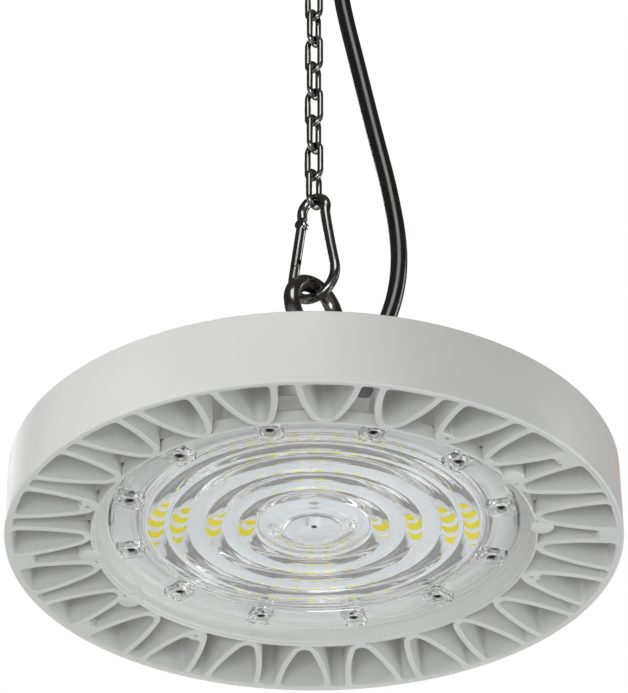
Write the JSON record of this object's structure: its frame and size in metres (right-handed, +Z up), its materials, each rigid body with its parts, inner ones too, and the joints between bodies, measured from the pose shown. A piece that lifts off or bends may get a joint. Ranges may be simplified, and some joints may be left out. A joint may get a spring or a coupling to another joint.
{
  "type": "high bay light",
  "caption": "Round LED high bay light with a cast housing, looped fins and a ridged clear lens, hung from a ceiling hook by a chain and a spring-gate carabiner beside its supply cable.",
  "frame": {"origin": "centre of the three screw holes, on the canopy's ceiling face", "axes": "+Z up into the ceiling, along the chain; the supply cable hangs on the +X side of the chain; +Y away from the viewer of the picture"},
  "size_m": [0.34, 0.34, 0.46],
  "materials": {
    "powder_coat_aluminium": "light grey powder coat on die-cast aluminium",
    "clear_lens": "clear moulded polycarbonate",
    "silicone": "silicone seal",
    "zinc_screw": "bright zinc",
    "white_board": "white solder mask",
    "grey_pad": "soft thermal pad",
    "phosphor": "yellow phosphor",
    "dark_aluminium": "dark coated aluminium",
    "plain_aluminium": "plain aluminium case",
    "terminal_plastic": "moulded plastic",
    "wire_insulation": "silicone insulation",
    "black_chrome": "black chrome plate on steel",
    "gland_nylon": "black nylon",
    "cable_jacket": "glossy black jacket",
    "powder_coat_steel": "light grey powder coat"
  },
  "bodies": {
    "ceiling": {"ceiling_canopy": "powder_coat_steel", "ceiling_hook": "black_chrome"},
    "link_9": {"chain_link_9": "black_chrome"},
    "link_8": {"chain_link_8": "black_chrome"},
    "link_7": {"chain_link_7": "black_chrome"},
    "link_6": {"chain_link_6": "black_chrome"},
    "link_5": {"chain_link_5": "black_chrome"},
    "link_4": {"chain_link_4": "black_chrome"},
    "link_3": {"chain_link_3": "black_chrome"},
    "link_2": {"chain_link_2": "black_chrome"},
    "link_1": {"chain_link_1": "black_chrome"},
    "carabiner": {"carabiner_body": "black_chrome", "gate_pin": "zinc_screw"},
    "gate": {"carabiner_gate": "black_chrome", "gate_spring": "zinc_screw"},
    "luminaire": {"housing": "powder_coat_aluminium", "lens_cover": "clear_lens", "lens_seal": "silicone", "lens_screws": "zinc_screw", "led_board": "white_board", "thermal_pad": "grey_pad", "leds": "phosphor", "board_screws": "zinc_screw", "centre_screw": "zinc_screw", "driver_cover": "dark_aluminium", "cover_gasket": "silicone", "cover_screws": "zinc_screw", "driver": "plain_aluminium", "driver_screws": "zinc_screw", "terminal_block": "terminal_plastic", "terminal_screws": "zinc_screw", "driver_wires": "wire_insulation", "led_wires": "wire_insulation", "eye_bolt": "black_chrome", "eye_washer": "zinc_screw", "eye_lock_nut": "zinc_screw", "cable_gland_body": "gland_nylon", "cable_gland_seal": "silicone", "cable_gland_nut": "gland_nylon", "cable_gland_locknut": "gland_nylon", "breather_vent": "gland_nylon", "supply_cable": "cable_jacket"}
  },
  "joints": [
    {"name": "chain_swing_9", "type": "hinge", "parent": "ceiling", "child": "link_9", "pos_m": [0, 0, -0.03555], "axis": [0.8241, -0.5664, 0], "range_deg": [-20, 20], "deforming": ["supply_cable"]},
    {"name": "chain_swing_8", "type": "hinge", "parent": "link_9", "child": "link_8", "pos_m": [0, 0, -0.0559], "axis": [0.5664, 0.8241, 0], "range_deg": [-17, 17], "deforming": ["supply_cable"]},
    {"name": "chain_swing_7", "type": "hinge", "parent": "link_8", "child": "link_7", "pos_m": [0, 0, -0.0769], "axis": [0.8241, -0.5664, 0], "range_deg": [-12, 12], "deforming": ["supply_cable"]},
    {"name": "chain_swing_6", "type": "hinge", "parent": "link_7", "child": "link_6", "pos_m": [0, 0, -0.0979], "axis": [0.5664, 0.8241, 0], "range_deg": [-9, 9], "deforming": ["supply_cable"]},
    {"name": "chain_swing_5", "type": "hinge", "parent": "link_6", "child": "link_5", "pos_m": [0, 0, -0.1189], "axis": [0.8241, -0.5664, 0], "range_deg": [-7, 7], "deforming": ["supply_cable"]},
    {"name": "chain_swing_4", "type": "hinge", "parent": "link_5", "child": "link_4", "pos_m": [0, 0, -0.1399], "axis": [0.5664, 0.8241, 0], "range_deg": [-6, 6], "deforming": ["supply_cable"]},
    {"name": "chain_swing_3", "type": "hinge", "parent": "link_4", "child": "link_3", "pos_m": [0, 0, -0.1609], "axis": [0.8241, -0.5664, 0], "range_deg": [-5, 5], "deforming": ["supply_cable"]},
    {"name": "chain_swing_2", "type": "hinge", "parent": "link_3", "child": "link_2", "pos_m": [0, 0, -0.1819], "axis": [0.5664, 0.8241, 0], "range_deg": [-5, 5], "deforming": ["supply_cable"]},
    {"name": "chain_swing_1", "type": "hinge", "parent": "link_2", "child": "link_1", "pos_m": [0, 0, -0.2029], "axis": [0.8241, -0.5664, 0], "range_deg": [-4, 4], "deforming": ["supply_cable"]},
    {"name": "carabiner_swing", "type": "hinge", "parent": "link_1", "child": "carabiner", "pos_m": [0, 0, -0.2239], "axis": [0.5664, 0.8241, 0], "range_deg": [-4, 4], "deforming": ["supply_cable"]},
    {"name": "luminaire_tilt", "type": "hinge", "parent": "carabiner", "child": "luminaire", "pos_m": [0, 0, -0.2905], "axis": [0.8241, -0.5664, 0], "range_deg": [-20, 20], "deforming": ["supply_cable"]},
    {"name": "gate_swing", "type": "hinge", "parent": "carabiner", "child": "gate", "pos_m": [-0.00734, 0.00504, -0.2348], "axis": [-0.5664, -0.8241, 0], "range_deg": [0, 28], "stiffness_Nm_per_rad": 0.05, "springref_deg": -11.46}
  ]
}
